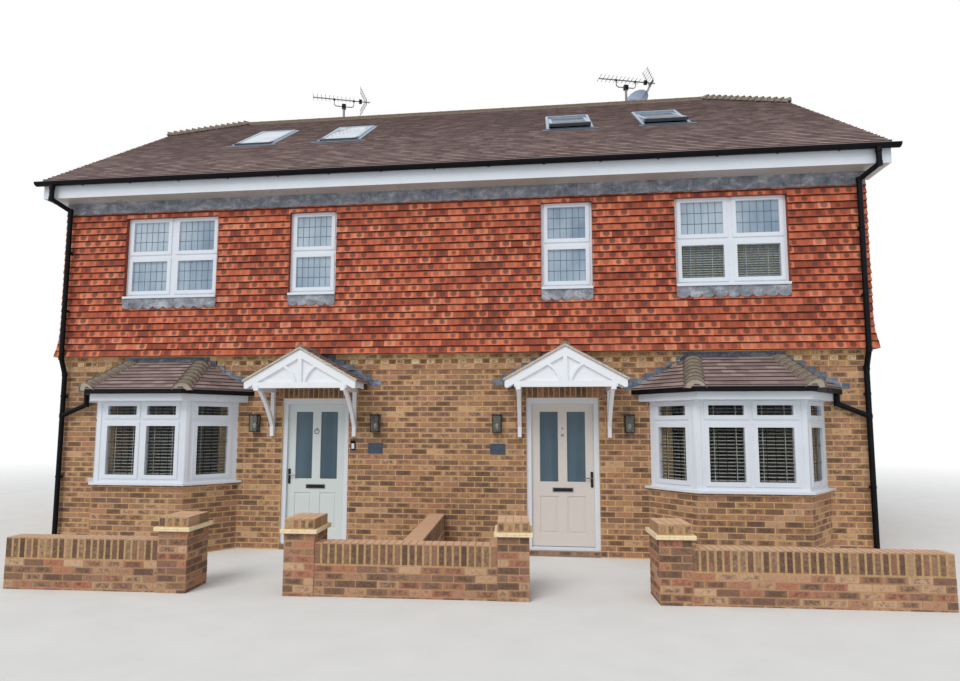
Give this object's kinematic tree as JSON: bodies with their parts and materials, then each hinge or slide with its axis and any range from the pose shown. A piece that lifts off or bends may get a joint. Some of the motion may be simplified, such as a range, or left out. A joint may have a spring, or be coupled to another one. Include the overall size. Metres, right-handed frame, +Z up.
{
  "type": "house pair",
  "caption": "Brick and tile-hung houses with canted bays, gabled porches, half-hipped roof, rooflights and low garden walls.",
  "frame": {"origin": "on the ground, on the underside of the ground floor slab, under the middle of the party wall and half way between the front and back wall faces", "axes": "+X along the house fronts to the right as seen from the street, +Y from the street into the houses, +Z up; the street side faces -Y"},
  "size_m": [12.22, 9.8854, 9.1488],
  "materials": {
    "concrete": "matte",
    "brick": "matte",
    "plaster": "matte",
    "floor_boards": "satin",
    "hung_tile": "matte",
    "lead": "matte",
    "roof_tile": "matte",
    "ridge_tile": "matte",
    "grey_metal": "satin",
    "window_glass": "gloss",
    "aerial_metal": "satin",
    "white_plastic": "satin",
    "black_plastic": "satin",
    "white_paint": "satin",
    "dark_wood": "matte",
    "chrome": "polished",
    "sage_paint": "satin",
    "door_glass": "frosted",
    "stone_paint": "satin",
    "black_metal": "satin",
    "plate_metal": "gloss"
  },
  "bodies": {
    "house": {"ground_floor": "concrete", "front_wall_piers": "brick", "front_wall_bands": "brick", "back_wall_piers": "brick", "back_wall_bands": "brick", "gable_walls": "brick", "party_wall": "plaster", "upper_floors": "floor_boards", "front_tile_hanging": "hung_tile", "side_tile_hanging": "hung_tile", "back_tile_hanging": "hung_tile", "corbel_courses": "brick", "lead_bands": "lead", "front_roof": "roof_tile", "back_roof": "roof_tile", "half_hips": "roof_tile", "ridge_tiles": "ridge_tile", "hip_tiles": "ridge_tile", "rooflight_frames": "grey_metal", "rooflight_sashes": "grey_metal", "rooflight_glass": "window_glass", "tv_aerials": "aerial_metal", "satellite_dish": "grey_metal", "fascias_and_soffits": "white_plastic", "bargeboards": "white_plastic", "gutters": "black_plastic", "downpipes": "black_plastic", "upper_windows": "white_plastic", "back_windows": "white_plastic", "window_glass": "window_glass", "lead_aprons": "lead", "back_doors": "white_plastic", "bay_walls": "brick", "bay_windows": "white_plastic", "bay_glass": "window_glass", "bay_fascias": "white_plastic", "bay_roofs": "roof_tile", "bay_gutters": "black_plastic", "lead_flashings": "lead", "porch_gables": "white_paint", "porch_brackets": "white_paint", "porch_rafters": "white_paint", "wall_rafters": "dark_wood", "porch_roofs": "roof_tile", "door_frames": "white_plastic", "door_hinges": "chrome", "garden_walls": "brick", "dividing_wall": "brick", "gate_piers": "brick", "pier_caps": "brick", "wall_lanterns": "black_metal", "lantern_glass": "window_glass", "door_bell": "black_plastic", "number_plates": "plate_metal"},
    "left_door": {"left_door": "sage_paint", "left_door_glass": "door_glass", "left_door_furniture": "chrome"},
    "right_door": {"right_door": "stone_paint", "right_door_glass": "door_glass", "right_door_furniture": "chrome"}
  },
  "joints": [
    {"name": "left_door_hinge", "type": "hinge", "parent": "house", "child": "left_door", "pos_m": [-1.3225, -3.419, 1.1], "axis": [0, 0, -1], "range_deg": [0, 90]},
    {"name": "right_door_hinge", "type": "hinge", "parent": "house", "child": "right_door", "pos_m": [1.3225, -3.419, 1.1], "axis": [0, 0, 1], "range_deg": [0, 90]}
  ]
}
